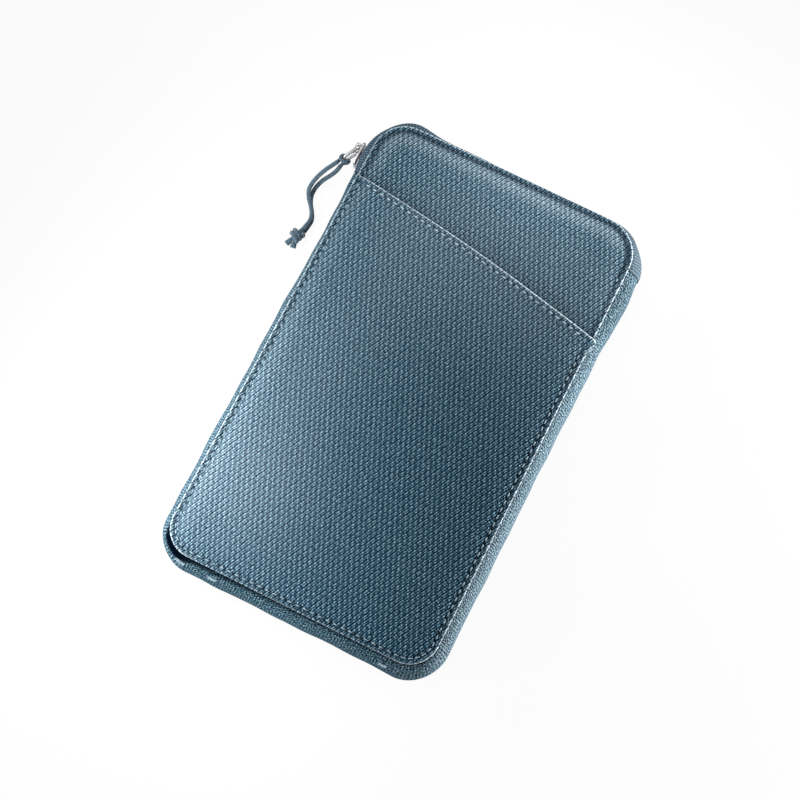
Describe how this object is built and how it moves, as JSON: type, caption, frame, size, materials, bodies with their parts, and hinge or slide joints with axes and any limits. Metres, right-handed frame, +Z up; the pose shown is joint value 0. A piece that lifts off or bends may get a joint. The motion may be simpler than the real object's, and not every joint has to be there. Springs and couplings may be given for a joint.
{
  "type": "zipped travel pouch wallet",
  "caption": "Slim padded fabric travel pouch wallet with a slanted slip pocket on its front and a zip with a corded puller over its top edge.",
  "frame": {"origin": "centre of the back panel's resting face", "axes": "+X runs across the front to its right side, +Y runs along the pouch to its zipped top edge, +Z points up out of the front"},
  "size_m": [0.1332, 0.199, 0.0202],
  "materials": {
    "twill": "coarse two-tone blue twill",
    "lining": "thin dark woven lining",
    "foam": "thin soft foam",
    "zip_tape": "ribbed woven tape",
    "zip_coil": "dark nylon",
    "nickel": "satin nickel plate",
    "cord": "braided cord"
  },
  "bodies": {
    "pouch": {"back_panel": "twill", "back_padding": "foam", "back_lining": "lining", "document_pocket": "lining", "passport_sleeve": "lining", "gusset": "twill", "front_panel": "twill", "front_pocket": "twill", "front_padding": "foam", "front_lining": "lining", "card_slot_1": "lining", "card_slot_2": "lining", "card_slot_3": "lining", "back_zip_tape": "zip_tape", "back_zip_coil": "zip_coil", "back_zip_stop": "nickel", "zip_end_stop": "nickel"},
    "mouth": {"front_panel_top": "twill", "flap_padding": "foam", "flap_lining": "lining", "front_zip_tape": "zip_tape", "front_zip_coil": "zip_coil", "front_zip_stop": "nickel"},
    "slider": {"zip_slider": "nickel"},
    "puller": {"pull_loop": "nickel", "cord_hitch": "cord", "cord_upper_strand": "cord", "cord_lower_strand": "cord", "cord_knot": "cord"}
  },
  "joints": [
    {"name": "mouth_fold", "type": "hinge", "parent": "pouch", "child": "mouth", "pos_m": [-0.056, 0.0705, 0.01895], "axis": [0.9952, 0.0977, 0], "range_deg": [0, 110]},
    {"name": "slider_turn", "type": "hinge", "parent": "pouch", "child": "slider", "pos_m": [-0.0395, 0.0795, 0.0084], "axis": [0, 0, -1], "range_deg": [0, 90]},
    {"name": "puller_swing", "type": "hinge", "parent": "slider", "child": "puller", "pos_m": [-0.06195, 0.0817, 0.0084], "axis": [0, 0, 1], "range_deg": [-128, 4]}
  ]
}
